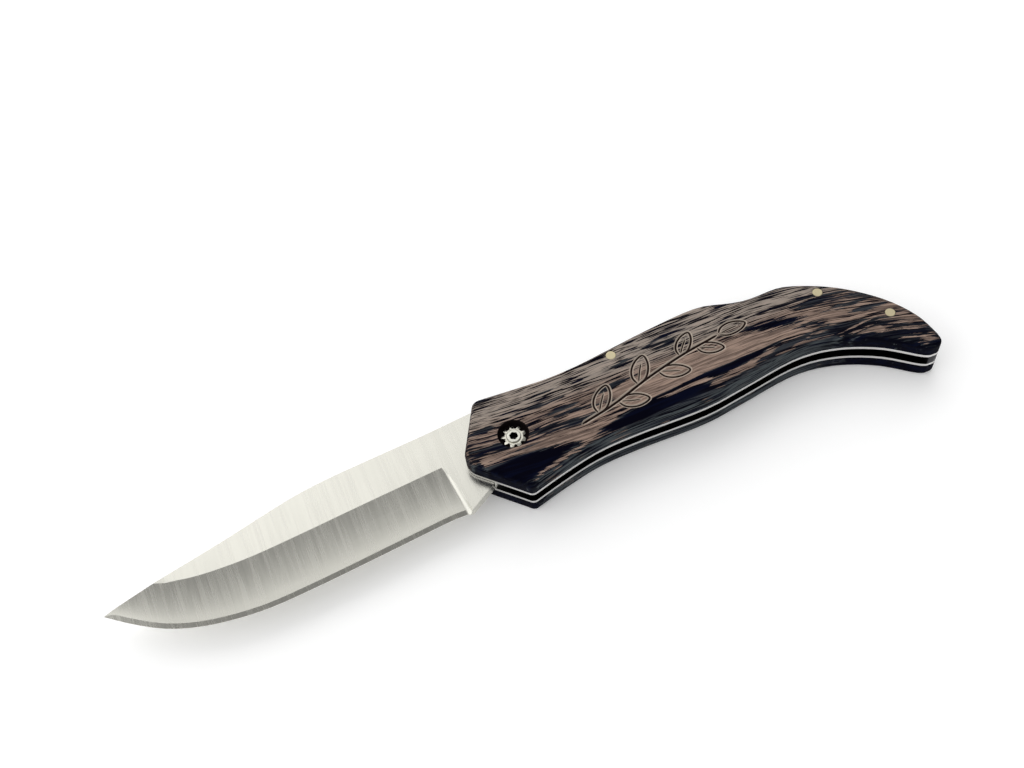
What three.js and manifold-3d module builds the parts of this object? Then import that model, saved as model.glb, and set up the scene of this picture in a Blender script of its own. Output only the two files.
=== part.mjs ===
// Folding pocket knife with a back lock, lying on its side with the blade open.
// Sizes are in millimetres. The knife is drawn around its pivot axis, which is x = y = 0, with
// +X towards the butt, +Y towards the spine and z = 0 in the middle of the blade's thickness.
// The last lines set the group on its rest face, centred on its own box.

import * as THREE from "three";
import { mergeVertices } from "three/addons/utils/BufferGeometryUtils.js";
import Module from "manifold-3d";

const wasm = await Module();
wasm.setup();

// Overall sizes
const HANDLE_REACH = 104; // pivot axis to the back of the butt
const HANDLE_DEPTH = 27.4; // spine to belly across the front of the handle
const TIP_COVER = 1.8; // how far the butt reaches past the folded blade's tip
const BLADE_REACH = HANDLE_REACH - TIP_COVER;
const FOLD_ANGLE = THREE.MathUtils.degToRad(169.5); // swing of the blade from open to shut

// Layers, counted outwards from the blade
const BLADE_THICKNESS = 2.6;
const TANG_WASHER_THICKNESS = 0.15;
const LINER_THICKNESS = 0.8;
const SCALE_THICKNESS = 4;
const SCALE_EDGE_RADIUS = 1.2;
const LINER_INSIDE = BLADE_THICKNESS / 2 + TANG_WASHER_THICKNESS;
const LINER_OUTSIDE = LINER_INSIDE + LINER_THICKNESS;
const SCALE_OUTSIDE = LINER_OUTSIDE + SCALE_THICKNESS;

// Blade grind
const EDGE_BEVEL_WIDTH = 1.15;
const EDGE_BEVEL_HALF_THICKNESS = 0.3; // half the blade where the cutting bevel begins
const EDGE_HALF_THICKNESS = 0.04;
const HOLLOW_DEPTH = 0.18; // how far the ground face dips below a straight line
const PLUNGE_RADIUS = 1.8; // rounded rim of the wheel that ends the grind
const PLUNGE_LEAN = 0.1; // sideways run of the plunge line for each millimetre down
const LEAN_RUN = 12; // stretch ahead of the plunge in which the lines across the blade start to lean
const TIP_CREST_SHARE = 0.12; // where the grind runs out over the spine, share of the depth left above it
const TIP_BEVEL_SHARE = 0.6; // most of the depth that the cutting bevel takes up at the tip
const FLANK_LINES = 7; // evenly spaced lines between the grind line and the cutting bevel

// Pivot
const BARREL_DIAMETER = 4.4;
const BARREL_BORE = 2.9;
const BARREL_FIT = 0.05; // radial clearance of the barrel in liners and scales
const BLADE_BORE_PLAY = 0.08; // radial running clearance of the blade on the barrel
const TANG_WASHER_DIAMETER = 11;
const COUNTERBORE_DIAMETER = 7.5;
const COUNTERBORE_DEPTH = 1.8;
const STAR_WASHER_DIAMETER = 5.9;
const STAR_WASHER_RING = 4.4;
const STAR_WASHER_THICKNESS = 0.3;
const STAR_WASHER_TEETH = 9;
const STAR_TOOTH_TWIST = THREE.MathUtils.degToRad(14);
const STAR_TOOTH_THICKNESS = 0.27;
const STAR_TOOTH_SINK = 0.25; // how far a tooth starts inside the ring
const STAR_TOOTH_ROOT = 0.84 * Math.PI * STAR_WASHER_RING / STAR_WASHER_TEETH;
const STAR_TOOTH_TIP = 0.6 * STAR_TOOTH_ROOT;
const STAR_TOOTH_RISE = STAR_TOOTH_ROOT / 2 * Math.sin(STAR_TOOTH_TWIST);
const COUNTERBORE_FLOOR = SCALE_OUTSIDE - COUNTERBORE_DEPTH;
const SCREW_SEAT = COUNTERBORE_FLOOR + STAR_TOOTH_RISE + STAR_WASHER_THICKNESS;
const SCREW_SHANK_DIAMETER = 2.6;
const SCREW_SHANK_LENGTH = 3.4;
const SCREW_HEAD_DIAMETER = 3.5;
const SCREW_HEAD_HEIGHT = 0.4;
const SCREW_HEAD_EDGE = 0.15;
const HEX_SOCKET_FLATS = 1.9;
const HEX_SOCKET_DEPTH = 1.3;

// Pins
const PIN_DIAMETER = 2.5;
const PIN_FIT = 0.04; // radial clearance of a pin in liners, scales and spacer
const LOCK_BAR_PLAY = 0.08; // radial running clearance of the lock bar on its pin
const LOCK_PIN_DROP = 2.25; // spine to the middle of each pin
const SPACER_PIN_FRONT_DROP = 2.95;
const SPACER_PIN_REAR_DROP = 6.1;

// Back lock
const CAM_RADIUS = 8.6; // round back of the tang
const CAM_CLEARANCE = 0.3; // tooth to tang
const SHOULDER_X = 1.5; // step in the tang that the tooth sits behind
const SEAT_CLEARANCE = 0.25; // tooth to shoulder
const TOOTH_LENGTH = 3.2;
const TOOTH_BACK_RUN = 0.8;
const LOCK_BAR_NOSE_DEPTH = 4.2;
const LOCK_BAR_DEPTH = 5;
const LOCK_BAR_BOSS_WALL = 1.5; // metal around the pin
const LOCK_BAR_SIDE_CLEARANCE = 0.05;
const KICK_CLEARANCE = 0.3; // folded blade to the underside of the lock bar
const SPACER_GAP = 0.5; // end of the lock bar to the back spacer
const SPACER_TIP_CLEARANCE = 0.5; // sweep of the blade's tip to the toe of the back spacer
const SPRING_THICKNESS = 0.9;
const SPRING_SIDE_CLEARANCE = 0.1;
const SPRING_SEAT_DEPTH = 5.6; // how far the spring's tail is held in the spacer
const SPRING_SEAT_DROP = 6.1; // spine to the middle of the spring's tail
const SPRING_CLEARANCE = 0.1;
const SPRING_BOW = 0.3;
const SPRING_TIP_LENGTH = 2.6;
const SPRING_TIP_DROP = 0.9;

// Thumb scallop above the lock bar's pad
const SCALLOP_DEPTH = 1.9;

// Smoothness of curved faces
const SEGMENTS = 32;
const BARREL_SEGMENTS = 48;
const SPINE_STEPS = 52;
const BELLY_STEPS = 42;
const CORNER_STEPS = 6;
const CORNER_SPACING = 0.3; // least room between a rounded corner and the next point of a curve
const EDGE_ROUND_STEPS = 4;
const BLADE_EDGE_STEPS = 60;
const TIP_SPAN = 10;
const TIP_STEPS = 7;
const BLADE_BODY_STEP = 2.6;
const PLUNGE_STEPS = 5;
const TANG_BACK_STEPS = 40;
const TANG_TOP_STEPS = 6;
const LOCK_BAR_STEP = 1;
const TOOTH_STEPS = 5;
const SPRING_STEPS = 28;
const SPACER_TOE_STEPS = 6;
const SPACER_INNER_STEPS = 24;

// Working values of the cuts and joins
const CUT_PAST = 1; // how far a cutter reaches past the faces it cuts
const TANG_OVERLAP = 0.4; // ground length and tang share this much before they are joined
const WELD_DISTANCE = 1e-5;
const SLOPE_STEP = 0.1;

// The outlines are drawn at these two sizes and stretched to the overall sizes above.
const DRAWN_HANDLE_REACH = 104;
const DRAWN_BLADE_REACH = 102.2;
const DRAWN_DEPTH = 27.4;

const onHandle = ([x, y]) => new THREE.Vector2(
  x * HANDLE_REACH / DRAWN_HANDLE_REACH,
  y * HANDLE_DEPTH / DRAWN_DEPTH,
);
const onBlade = ([x, y]) => new THREE.Vector2(
  x * BLADE_REACH / DRAWN_BLADE_REACH,
  y * HANDLE_DEPTH / DRAWN_DEPTH,
);

// Handle outline: spine and belly curves, and the three corners that the front ends in
const FRONT_TOP = onHandle([-5.5, 12.95]);
const NOSE = onHandle([-13.75, -2.1]);
const BELLY_FRONT = onHandle([-1.45, -14.9]);
const BUTT_CORNER = onHandle([104, -20.9]);
const FRONT_TOP_RADIUS = 2.5;
const NOSE_RADIUS = 4.4;
const BELLY_FRONT_RADIUS = SCALE_EDGE_RADIUS + 0.4;
const BUTT_RADIUS = SCALE_EDGE_RADIUS + 0.7;

const spineCurve = new THREE.SplineCurve([
  [-5.5, 12.95], [7, 11.9], [14, 11.45], [22, 11.75], [32, 12.85], [42, 13.95], [53, 14.7],
  [62, 14.1], [71, 12.75], [79, 10.7], [86.5, 7.1], [93, 2.3], [99, -4.2], [102.8, -11.2],
  [104, -17.5],
].map(onHandle));
const bellyCurve = new THREE.SplineCurve([
  [-1.45, -14.9], [8, -12.5], [17.5, -10.75], [28, -10.45], [45, -10.9], [56, -9.7],
  [71, -7.8], [81.5, -9.2], [91.3, -13.7], [99.2, -20], [101.6, -20.8],
].map(onHandle));
const SCALLOP_START = onHandle([55, 0]).x;
const SCALLOP_END = onHandle([79, 0]).x;

// Blade outline, and the line on its flank where the hollow grind begins
const bladeSpine = new THREE.SplineCurve([
  [-102.2, -1.1], [-97, 0.15], [-88, 1.85], [-72, 5.1], [-56, 8.75], [-46, 10.25], [-34, 11.05],
  [-20, 11.8], [-12, 12.45], [-5.5, 12.95],
].map(onBlade));
const bladeEdge = new THREE.SplineCurve([
  [-102.2, -1.1], [-96, -5.9], [-89, -10.2], [-80, -13.3], [-68, -14.95], [-55, -14.6],
  [-38, -13.35], [-23, -12.15], [-18, -12], [-16.4, -12.45],
].map(onBlade));
const grindLine = new THREE.SplineCurve([
  [-102.2, 9], [-95, 4.6], [-88.5, 1.4], [-84, -0.1], [-78, -1.1], [-68, -1.55], [-56, -1],
  [-40, 0.15], [-18.7, 1.55], [-12, 2],
].map(onBlade));
const PLUNGE_TOP = onBlade([-18.7, 1.55]);
const KICK = onBlade([-16.4, -12.45]);
const RICASSO_FOOT = onBlade([-8.4, -7.7]);
const CAM_START = THREE.MathUtils.degToRad(-120); // where the ricasso runs into the tang's round back
const TANG_LAP = onBlade([-14.6, 0]).x; // the ground length ends here, inside the tang

// Height of a curve at x, found by halving. Each curve here runs from left to right.
function heightAt(curve, x) {
  const halvings = 30;
  let low = 0;
  let high = 1;
  for (let step = 0; step < halvings; step += 1) {
    const middle = (low + high) / 2;
    if (curve.getPoint(middle).x < x) {
      low = middle;
    } else {
      high = middle;
    }
  }
  return curve.getPoint(low).y;
}

const spineHeight = (x) => heightAt(spineCurve, x);

// The scallop lowers scales and liners, and leaves the lock bar's pad standing.
function scallopDepth(x) {
  const share = (x - SCALLOP_START) / (SCALLOP_END - SCALLOP_START);
  if (share <= 0 || share >= 1) return 0;
  return SCALLOP_DEPTH * (1 - Math.cos(2 * Math.PI * share)) / 2;
}

// Points of an arc that rounds the corner between two neighbours
function roundedCorner(before, corner, after, radius) {
  const back = before.clone().sub(corner).normalize();
  const ahead = after.clone().sub(corner).normalize();
  const halfAngle = Math.acos(back.dot(ahead)) / 2;
  const middle = back.clone().add(ahead).normalize();
  const centre = corner.clone().addScaledVector(middle, radius / Math.sin(halfAngle));
  const start = corner.clone().addScaledVector(back, radius / Math.tan(halfAngle)).sub(centre);
  const turn = Math.sign(back.cross(ahead)) * -(Math.PI - 2 * halfAngle);
  const points = [];
  for (let step = 0; step <= CORNER_STEPS; step += 1) {
    const spoke = start.clone().rotateAround(new THREE.Vector2(), turn * step / CORNER_STEPS);
    points.push(spoke.add(centre));
  }
  return points;
}

const samples = (curve, count, from = 0, to = 1) => Array.from(
  { length: count + 1 },
  (_, index) => curve.getPoint(from + (to - from) * index / count),
);

// Closed outline that scales and liners share
function handleOutline() {
  const spine = samples(spineCurve, SPINE_STEPS).map(({ x, y }) => new THREE.Vector2(x, y - scallopDepth(x)));
  const belly = samples(bellyCurve, BELLY_STEPS).reverse();
  const trim = (points, corner, reach) => points.filter((point) => point.distanceTo(corner) > reach);
  const frontTop = roundedCorner(NOSE, FRONT_TOP, spine[2], FRONT_TOP_RADIUS);
  const nose = roundedCorner(BELLY_FRONT, NOSE, FRONT_TOP, NOSE_RADIUS);
  const bellyFront = roundedCorner(belly.at(-3), BELLY_FRONT, NOSE, BELLY_FRONT_RADIUS);
  const butt = roundedCorner(spine.at(-1), BUTT_CORNER, belly[0], BUTT_RADIUS);
  return [
    ...frontTop,
    ...trim(spine, FRONT_TOP, frontTop.at(-1).distanceTo(FRONT_TOP) + CORNER_SPACING),
    ...butt,
    ...trim(belly, BELLY_FRONT, bellyFront[0].distanceTo(BELLY_FRONT) + CORNER_SPACING),
    ...bellyFront,
    ...nose,
  ];
}

// Lower outline of the open blade, from the tip to the foot of the ricasso
function bladeUnderside() {
  return [
    ...samples(bladeEdge, BLADE_EDGE_STEPS),
    RICASSO_FOOT.clone(),
    new THREE.Vector2(Math.cos(CAM_START), Math.sin(CAM_START)).multiplyScalar(CAM_RADIUS),
  ];
}

const foldedUnderside = bladeUnderside().map(
  (point) => point.rotateAround(new THREE.Vector2(), FOLD_ANGLE),
);

// Highest point of the folded blade above x
function foldedBladeTop(x) {
  let top = -Infinity;
  for (let index = 1; index < foldedUnderside.length; index += 1) {
    const a = foldedUnderside[index - 1];
    const b = foldedUnderside[index];
    if ((a.x - x) * (b.x - x) < 0) {
      top = Math.max(top, THREE.MathUtils.mapLinear(x, a.x, b.x, a.y, b.y));
    }
  }
  return top;
}

// Where the pins stand: a drawn x, and a drop below the spine
function pinPlace(drawnX, drop) {
  const { x } = onHandle([drawnX, 0]);
  return new THREE.Vector2(x, spineHeight(x) - drop);
}

const LOCK_PIN = pinPlace(30.24, LOCK_PIN_DROP);
const SPACER_PIN_FRONT = pinPlace(84.5, SPACER_PIN_FRONT_DROP);
const SPACER_PIN_REAR = pinPlace(97, SPACER_PIN_REAR_DROP);
const LOCK_BAR_END = onHandle([75.7, 0]).x;
const SPACER_FRONT = LOCK_BAR_END + SPACER_GAP;
const SPACER_TOE_TOP = onHandle([0, -15.6]).y;
const SPRING_CONTACT_X = onHandle([60, 0]).x;

// A closed geometry as a solid that can be cut and joined
function toSolid(geometry) {
  geometry.deleteAttribute("normal");
  geometry.deleteAttribute("uv");
  const welded = mergeVertices(geometry, WELD_DISTANCE);
  return new wasm.Manifold(new wasm.Mesh({
    numProp: 3,
    vertProperties: Float32Array.from(welded.attributes.position.array),
    triVerts: Uint32Array.from(welded.index.array),
  }));
}

function toGeometry(solid) {
  const mesh = solid.getMesh();
  const geometry = new THREE.BufferGeometry();
  geometry.setAttribute("position", new THREE.BufferAttribute(mesh.vertProperties, 3));
  geometry.setIndex(new THREE.BufferAttribute(mesh.triVerts, 1));
  geometry.computeVertexNormals();
  return geometry;
}

// Plate with the given outline between two heights
function plate(outline, bottom, top) {
  const geometry = new THREE.ExtrudeGeometry(new THREE.Shape(outline), {
    depth: top - bottom,
    bevelEnabled: false,
  });
  return toSolid(geometry.translate(0, 0, bottom));
}

// Upright cylinder between two heights, as a pin or as the cutter for its hole
function post(place, radius, bottom, top, segments = SEGMENTS) {
  const geometry = new THREE.CylinderGeometry(radius, radius, top - bottom, segments);
  geometry.rotateX(Math.PI / 2).translate(place.x, place.y, (top + bottom) / 2);
  return toSolid(geometry);
}

const AXIS = new THREE.Vector2();
const PIN_PLACES = [LOCK_PIN, SPACER_PIN_FRONT, SPACER_PIN_REAR];
const CUT_TOP = SCALE_OUTSIDE + CUT_PAST;

// Cuts the holes for the pins through a layer of the handle
function drill(layer) {
  let drilled = layer;
  for (const place of PIN_PLACES) {
    drilled = drilled.subtract(post(place, PIN_DIAMETER / 2 + PIN_FIT, -CUT_TOP, CUT_TOP));
  }
  return drilled;
}

const barrelHole = () => post(AXIS, BARREL_DIAMETER / 2 + BARREL_FIT, -CUT_TOP, CUT_TOP, BARREL_SEGMENTS);

function linerSolid() {
  return drill(plate(handleOutline(), LINER_INSIDE, LINER_OUTSIDE)).subtract(barrelHole());
}

// A scale is a slab with a rounded rim, of which only the part outside the liner is kept.
function scaleSolid() {
  const slab = new THREE.ExtrudeGeometry(new THREE.Shape(handleOutline()), {
    depth: SCALE_THICKNESS,
    bevelThickness: SCALE_EDGE_RADIUS,
    bevelSize: SCALE_EDGE_RADIUS,
    bevelOffset: -SCALE_EDGE_RADIUS,
    bevelSegments: EDGE_ROUND_STEPS,
  }).translate(0, 0, LINER_OUTSIDE - SCALE_EDGE_RADIUS);
  const room = new THREE.BoxGeometry(4 * HANDLE_REACH, 4 * HANDLE_REACH, 2 * SCALE_THICKNESS)
    .translate(0, 0, LINER_OUTSIDE + SCALE_THICKNESS);
  const counterbore = post(AXIS, COUNTERBORE_DIAMETER / 2, COUNTERBORE_FLOOR, CUT_TOP, BARREL_SEGMENTS);
  return drill(toSolid(slab).intersect(toSolid(room))).subtract(barrelHole()).subtract(counterbore);
}

// Height of the blade's lower outline: the cutting edge up to the kick, and the ricasso behind it
function lowerHeight(x) {
  if (x <= KICK.x) {
    return heightAt(bladeEdge, x);
  }
  return THREE.MathUtils.mapLinear(x, KICK.x, RICASSO_FOOT.x, KICK.y, RICASSO_FOOT.y);
}

// A line across the blade: its ends on the spine and on the lower outline, and the heights of the
// grind line and of the cutting bevel's shoulder. Near the plunge the line leans as the plunge does.
function bladeStation(s) {
  const lean = PLUNGE_LEAN * THREE.MathUtils.smoothstep(s, PLUNGE_TOP.x - LEAN_RUN, PLUNGE_TOP.x);
  const topX = s + lean * (PLUNGE_TOP.y - heightAt(bladeSpine, s));
  const footX = s + lean * (PLUNGE_TOP.y - lowerHeight(s));
  const top = new THREE.Vector2(topX, heightAt(bladeSpine, topX));
  const foot = new THREE.Vector2(footX, lowerHeight(footX));
  const slope = (lowerHeight(footX + SLOPE_STEP) - lowerHeight(footX - SLOPE_STEP)) / (2 * SLOPE_STEP);
  const fullBevel = EDGE_BEVEL_WIDTH * (footX < KICK.x ? Math.hypot(1, slope) : 1);
  const bevel = Math.min(fullBevel, TIP_BEVEL_SHARE * (top.y - foot.y));
  const shoulderHalf = THREE.MathUtils.lerp(
    EDGE_HALF_THICKNESS,
    EDGE_BEVEL_HALF_THICKNESS,
    bevel / fullBevel,
  );
  return { top, foot, shoulder: foot.y + bevel, shoulderHalf, grind: heightAt(grindLine, s) };
}

// Half thickness that the grind leaves at a height: a hollow face above a straight cutting bevel
function groundHalf(y, { foot, shoulder, shoulderHalf, grind }) {
  if (y < shoulder) {
    return THREE.MathUtils.mapLinear(y, foot.y, shoulder, EDGE_HALF_THICKNESS, shoulderHalf);
  }
  const share = Math.min((y - shoulder) / (grind - shoulder), 1);
  const straight = THREE.MathUtils.lerp(shoulderHalf, BLADE_THICKNESS / 2, share);
  return straight - 4 * HOLLOW_DEPTH * share * (1 - share);
}

// How much thicker each side gets as the plunge curves out of the ground face
function plungeRise(s) {
  const run = THREE.MathUtils.clamp(s - PLUNGE_TOP.x, 0, PLUNGE_RADIUS);
  return PLUNGE_RADIUS - Math.sqrt(PLUNGE_RADIUS ** 2 - run ** 2);
}

// Evenly spaced values after one and up to another
const evenly = (from, to, count) => Array.from(
  { length: count },
  (_, index) => THREE.MathUtils.lerp(from, to, (index + 1) / count),
);

// Closed ring of points around the blade at a station, seen from the tip
function bladeRing(s) {
  const station = bladeStation(s);
  const { top, foot, shoulder, grind } = station;
  const crest = Math.min(grind, top.y - TIP_CREST_SHARE * (top.y - foot.y));
  const flanks = evenly(crest, shoulder, FLANK_LINES + 1);
  const side = [top.y, crest, ...flanks, foot.y].map((y) => new THREE.Vector3(
    THREE.MathUtils.mapLinear(y, foot.y, top.y, foot.x, top.x),
    y,
    Math.min(groundHalf(y, station) + plungeRise(s), BLADE_THICKNESS / 2),
  ));
  const otherSide = side.map(({ x, y, z }) => new THREE.Vector3(x, y, -z)).reverse();
  return [...side, ...otherSide];
}

// Stations from the tip to the tang: close together at the tip and through the plunge, with one
// that ends at the kick
function bladeStations() {
  const tip = evenly(0, 1, TIP_STEPS).map((share) => -BLADE_REACH + TIP_SPAN * share ** 2);
  const bodyStart = tip.at(-1);
  const bodySteps = Math.round((PLUNGE_TOP.x - bodyStart) / BLADE_BODY_STEP);
  const kickStation = KICK.x - PLUNGE_LEAN * (PLUNGE_TOP.y - KICK.y);
  const plungeEnd = PLUNGE_TOP.x + PLUNGE_RADIUS;
  return [
    ...tip,
    ...evenly(bodyStart, PLUNGE_TOP.x, bodySteps),
    ...evenly(PLUNGE_TOP.x, kickStation, PLUNGE_STEPS),
    ...evenly(kickStation, plungeEnd, PLUNGE_STEPS),
    TANG_LAP,
  ];
}

// Skin over a row of rings, closed by a point at the first end and a flat cap at the last
function loft(apex, rings) {
  const positions = [apex, ...rings.flat()].flatMap(({ x, y, z }) => [x, y, z]);
  const size = rings[0].length;
  const at = (ring, index) => 1 + ring * size + index % size;
  const faces = [];
  for (let index = 0; index < size; index += 1) {
    faces.push(0, at(0, index + 1), at(0, index));
  }
  for (let ring = 1; ring < rings.length; ring += 1) {
    for (let index = 0; index < size; index += 1) {
      faces.push(at(ring - 1, index), at(ring, index + 1), at(ring, index));
      faces.push(at(ring - 1, index), at(ring - 1, index + 1), at(ring, index + 1));
    }
  }
  const last = rings.length - 1;
  for (let index = 0; index < size / 2 - 1; index += 1) {
    faces.push(at(last, index), at(last, index + 1), at(last, size - 1 - index));
    faces.push(at(last, index + 1), at(last, size - 2 - index), at(last, size - 1 - index));
  }
  const geometry = new THREE.BufferGeometry();
  geometry.setAttribute("position", new THREE.Float32BufferAttribute(positions, 3));
  geometry.setIndex(faces);
  return geometry;
}

// Flat tang: ricasso, round back, the shoulder for the lock and a top flush with the handle
function tangOutline() {
  const front = bladeStation(TANG_LAP - TANG_OVERLAP);
  const shoulderAngle = Math.acos(SHOULDER_X / CAM_RADIUS);
  const back = new THREE.EllipseCurve(0, 0, CAM_RADIUS, CAM_RADIUS, CAM_START, shoulderAngle);
  const topSpots = [SHOULDER_X, ...evenly(SHOULDER_X, FRONT_TOP.x, TANG_TOP_STEPS)];
  return [
    front.foot,
    RICASSO_FOOT,
    ...samples(back, TANG_BACK_STEPS),
    ...topSpots.map((x) => new THREE.Vector2(x, spineHeight(x))),
    front.top,
  ];
}

function bladeSolid() {
  const tip = bladeSpine.getPoint(0);
  const half = BLADE_THICKNESS / 2;
  const boreRadius = BARREL_DIAMETER / 2 + BLADE_BORE_PLAY;
  const ground = toSolid(loft(new THREE.Vector3(tip.x, tip.y, 0), bladeStations().map(bladeRing)));
  const bore = post(AXIS, boreRadius, -half - CUT_PAST, half + CUT_PAST, BARREL_SEGMENTS);
  return ground.add(plate(tangOutline(), -half, half)).subtract(bore);
}

// Underside of the lock bar behind its tooth: a straight nose, the boss round the pin and a rear arm
// of even depth, all of it cleared for the folded blade
function lockBarUnderside(x) {
  const noseY = spineHeight(SHOULDER_X) - LOCK_BAR_NOSE_DEPTH;
  const pinY = spineHeight(LOCK_PIN.x) - LOCK_BAR_DEPTH;
  const nose = THREE.MathUtils.mapLinear(x, SHOULDER_X, LOCK_PIN.x, noseY, pinY);
  const arm = x < LOCK_PIN.x ? nose : spineHeight(x) - LOCK_BAR_DEPTH;
  const bossRadius = PIN_DIAMETER / 2 + LOCK_BAR_BOSS_WALL;
  const across = Math.min(Math.abs(x - LOCK_PIN.x), bossRadius);
  const boss = LOCK_PIN.y - Math.sqrt(bossRadius ** 2 - across ** 2);
  return Math.max(Math.min(arm, boss), foldedBladeTop(x) + KICK_CLEARANCE);
}

function lockBarOutline() {
  const front = SHOULDER_X + SEAT_CLEARANCE;
  const toothRadius = CAM_RADIUS + CAM_CLEARANCE;
  const toothBack = front + TOOTH_LENGTH;
  const armFront = toothBack + TOOTH_BACK_RUN;
  const topSteps = Math.round((LOCK_BAR_END - front) / LOCK_BAR_STEP);
  const underSteps = Math.round((LOCK_BAR_END - armFront) / LOCK_BAR_STEP);
  const top = [front, ...evenly(front, LOCK_BAR_END, topSteps)];
  const under = [LOCK_BAR_END, ...evenly(LOCK_BAR_END, armFront, underSteps)];
  const tooth = [toothBack, ...evenly(toothBack, front, TOOTH_STEPS)];
  return [
    ...top.map((x) => new THREE.Vector2(x, spineHeight(x))),
    ...under.map((x) => new THREE.Vector2(x, lockBarUnderside(x))),
    ...tooth.map((x) => new THREE.Vector2(x, Math.sqrt(toothRadius ** 2 - x ** 2))),
  ];
}

function lockBarSolid() {
  const half = LINER_INSIDE - LOCK_BAR_SIDE_CLEARANCE;
  const hole = post(LOCK_PIN, PIN_DIAMETER / 2 + LOCK_BAR_PLAY, -CUT_TOP, CUT_TOP);
  return plate(lockBarOutline(), -half, half).subtract(hole);
}

// Middle line of the leaf spring, from its tail in the spacer to its tip under the lock bar
function springCurve() {
  const tailY = spineHeight(SPACER_FRONT) - SPRING_SEAT_DROP;
  const contactY = lockBarUnderside(SPRING_CONTACT_X) - SPRING_CLEARANCE - SPRING_THICKNESS / 2;
  const bowX = (SPRING_CONTACT_X + SPACER_FRONT) / 2;
  return new THREE.SplineCurve([
    new THREE.Vector2(SPACER_FRONT + SPRING_SEAT_DEPTH, tailY),
    new THREE.Vector2(SPACER_FRONT, tailY),
    new THREE.Vector2(bowX, (tailY + contactY) / 2 - SPRING_BOW),
    new THREE.Vector2(SPRING_CONTACT_X, contactY),
    new THREE.Vector2(SPRING_CONTACT_X - SPRING_TIP_LENGTH, contactY - SPRING_TIP_DROP),
  ]);
}

// Leaf spring: a strip of even thickness along its middle line
function springSolid() {
  const curve = springCurve();
  const upperSide = [];
  const lowerSide = [];
  for (const share of [0, ...evenly(0, 1, SPRING_STEPS)]) {
    const middle = curve.getPoint(share);
    const along = curve.getTangent(share);
    const across = new THREE.Vector2(-along.y, along.x).multiplyScalar(SPRING_THICKNESS / 2);
    upperSide.push(middle.clone().add(across));
    lowerSide.unshift(middle.clone().sub(across));
  }
  const half = LINER_INSIDE - SPRING_SIDE_CLEARANCE;
  return plate([...upperSide, ...lowerSide], -half, half);
}

// Back spacer: flush with the handle's outline from the lock bar round the butt, with a toe that
// follows the sweep of the blade's tip, hollowed for the folded blade and slotted for the spring's tail
function spacerSolid() {
  const sweep = BLADE_REACH + SPACER_TIP_CLEARANCE;
  const below = BUTT_CORNER.y - CUT_PAST;
  const above = spineHeight(SPACER_FRONT) + CUT_PAST;
  const behind = HANDLE_REACH + CUT_PAST;
  const toeFootAngle = Math.asin(below / sweep);
  const toeTopAngle = Math.asin(SPACER_TOE_TOP / sweep);
  const toe = samples(
    new THREE.EllipseCurve(0, 0, sweep, sweep, toeFootAngle, toeTopAngle),
    SPACER_TOE_STEPS,
  );
  const innerCurve = new THREE.SplineCurve([
    toe.pop(),
    ...[[98.8, -13.4], [95.7, -10], [92, -5.6], [87, -1.3], [81, 2.4], [76.2, 3.4]].map(onHandle),
  ]);
  const inner = samples(innerCurve, SPACER_INNER_STEPS);
  inner.at(-1).x = SPACER_FRONT;
  const room = [
    new THREE.Vector2(SPACER_FRONT, above),
    new THREE.Vector2(behind, above),
    new THREE.Vector2(behind, below),
    ...toe,
    ...inner,
  ];
  const slot = new THREE.BoxGeometry(
    2 * (SPRING_SEAT_DEPTH + SPRING_CLEARANCE),
    SPRING_THICKNESS + 2 * SPRING_CLEARANCE,
    4 * LINER_INSIDE,
  ).translate(SPACER_FRONT, springCurve().getPoint(0).y, 0);
  const body = plate(handleOutline(), -LINER_INSIDE, LINER_INSIDE)
    .intersect(plate(room, -LINER_INSIDE - CUT_PAST, LINER_INSIDE + CUT_PAST));
  return drill(body).subtract(toSolid(slot));
}

// Ring turned from a rectangle that closes on itself
function ringSolid(inner, outer, bottom, top, segments = BARREL_SEGMENTS) {
  const profile = [
    new THREE.Vector2(inner, bottom),
    new THREE.Vector2(outer, bottom),
    new THREE.Vector2(outer, top),
    new THREE.Vector2(inner, top),
    new THREE.Vector2(inner, bottom),
  ];
  return toSolid(new THREE.LatheGeometry(profile, segments).rotateX(Math.PI / 2));
}

// Toothed lock washer: a ring under the screw's head whose tapered teeth are each twisted about
// their length
function starWasherSolid() {
  const ringRadius = STAR_WASHER_RING / 2;
  const toothStart = ringRadius - STAR_TOOTH_SINK;
  const toothEnd = STAR_WASHER_DIAMETER / 2;
  const bottom = SCREW_SEAT - STAR_WASHER_THICKNESS;
  const toothOutline = new THREE.Shape([
    new THREE.Vector2(toothStart, -STAR_TOOTH_ROOT / 2),
    new THREE.Vector2(toothEnd, -STAR_TOOTH_TIP / 2),
    new THREE.Vector2(toothEnd, STAR_TOOTH_TIP / 2),
    new THREE.Vector2(toothStart, STAR_TOOTH_ROOT / 2),
  ]);
  let washer = ringSolid(BARREL_BORE / 2, ringRadius, bottom, SCREW_SEAT, SEGMENTS);
  for (let index = 0; index < STAR_WASHER_TEETH; index += 1) {
    const tooth = new THREE.ExtrudeGeometry(toothOutline, {
      depth: STAR_TOOTH_THICKNESS,
      bevelEnabled: false,
    })
      .translate(0, 0, -STAR_TOOTH_THICKNESS / 2)
      .rotateX(STAR_TOOTH_TWIST)
      .translate(0, 0, SCREW_SEAT - STAR_WASHER_THICKNESS / 2)
      .rotateZ(2 * Math.PI * index / STAR_WASHER_TEETH);
    washer = washer.add(toSolid(tooth));
  }
  return washer;
}

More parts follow.
